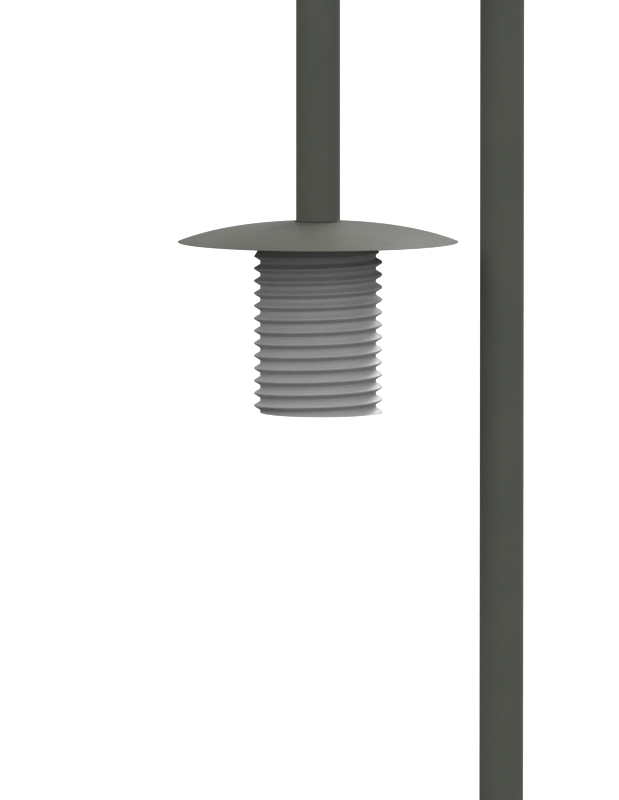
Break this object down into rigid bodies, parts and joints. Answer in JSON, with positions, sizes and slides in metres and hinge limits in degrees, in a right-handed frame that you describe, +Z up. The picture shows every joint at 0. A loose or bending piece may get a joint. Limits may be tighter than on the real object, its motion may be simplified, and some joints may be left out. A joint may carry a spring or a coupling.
{
  "type": "street lamp post",
  "caption": "Crook-shaped steel lamp post with a flanged base, service door, shallow round canopy and a screw-on cylindrical lamp with a helical fin.",
  "frame": {"origin": "centre of the base plate's underside, on the post's axis", "axes": "+Z up the post; the crook reaches over towards -X; the service door faces -Y"},
  "size_m": [0.7589, 0.4842, 3.9464],
  "materials": {
    "post_coat": "satin powder coat, dark olive grey",
    "canopy_coat": "satin powder coat, dark olive grey",
    "housing_alloy": "cast, fine satin, oxidised grey",
    "galvanised_steel": "dull zinc",
    "stainless": "fine machined",
    "raw_alloy": "machined",
    "bright_alloy": "bright rolled",
    "contact_brass": "satin",
    "rubber_seal": "matte",
    "cable_sheath": "matte",
    "grey_plastic": "moulded",
    "black_plastic": "moulded",
    "board_white": "white solder mask",
    "clear_lens": "clear moulded optic",
    "lamp_glass": "clear flat glass"
  },
  "bodies": {
    "post": {"base_plate": "galvanised_steel", "base_weld": "post_coat", "base_shaft": "post_coat", "door_seat": "post_coat", "shoulder_collar": "post_coat", "spacer_ring": "galvanised_steel", "crook_tube": "post_coat", "hinge_bracket_lower": "post_coat", "hinge_bracket_upper": "post_coat", "mounting_board": "grey_plastic", "board_bracket": "galvanised_steel", "board_screw_1": "stainless", "board_screw_2": "stainless", "fuse_base": "black_plastic", "terminal_block": "grey_plastic", "earth_stud": "contact_brass", "earth_lead": "cable_sheath", "link_wire": "cable_sheath", "supply_cable": "cable_sheath", "canopy": "canopy_coat", "tube_seal": "rubber_seal", "canopy_hub": "raw_alloy", "hub_grub_screw_1": "stainless", "hub_grub_screw_2": "stainless", "canopy_underplate": "canopy_coat", "underplate_screw_1": "stainless", "underplate_screw_2": "stainless", "underplate_screw_3": "stainless", "spigot": "raw_alloy", "spigot_screw_1": "stainless", "spigot_screw_2": "stainless", "spigot_screw_3": "stainless", "contact_block": "black_plastic", "contact_pin_1": "contact_brass", "contact_pin_2": "contact_brass"},
    "door": {"service_door": "post_coat", "hinge_strap_lower": "post_coat", "hinge_strap_upper": "post_coat", "lock_barrel": "stainless", "lock_nut": "galvanised_steel"},
    "lock": {"lock_spindle": "contact_brass", "lock_cam": "galvanised_steel"},
    "fuse": {"fuse_carrier": "grey_plastic"},
    "gasket": {"lamp_gasket": "rubber_seal"},
    "lamp": {"lamp_housing": "housing_alloy", "heat_spreader": "raw_alloy", "spreader_screw_1": "stainless", "spreader_screw_2": "stainless", "led_board": "board_white", "lens_plate": "clear_lens", "reflector": "bright_alloy", "led_driver": "black_plastic", "contact_disc": "contact_brass", "contact_pillar": "grey_plastic", "glass_seal": "rubber_seal", "lamp_glass": "lamp_glass", "bezel_ring": "housing_alloy", "bezel_screw_1": "stainless", "bezel_screw_2": "stainless", "bezel_screw_3": "stainless"}
  },
  "joints": [
    {"name": "service_door_hinge", "type": "hinge", "parent": "post", "child": "door", "pos_m": [0.04757, -0.03992, 0.6], "axis": [0, 0, 1], "range_deg": [0, 105]},
    {"name": "door_lock_turn", "type": "hinge", "parent": "door", "child": "lock", "pos_m": [0, -0.05715, 0.772], "axis": [0, 1, 0], "range_deg": [0, 90]},
    {"name": "fuse_pull", "type": "slide", "parent": "post", "child": "fuse", "axis": [0, -1, 0], "range_m": [0, 0.024]},
    {"name": "lamp_lower", "type": "slide", "parent": "post", "child": "gasket", "axis": [0, 0, -1], "range_m": [0, 0.024]},
    {"name": "lamp_turn", "type": "hinge", "parent": "gasket", "child": "lamp", "pos_m": [-0.3168, 0, 3.294], "axis": [0, 0, -1], "range_deg": [0, 1081]}
  ],
  "couplings": [
    {"joint": "lamp_turn", "follows": "lamp_lower", "rad_per_m": 785.4}
  ]
}
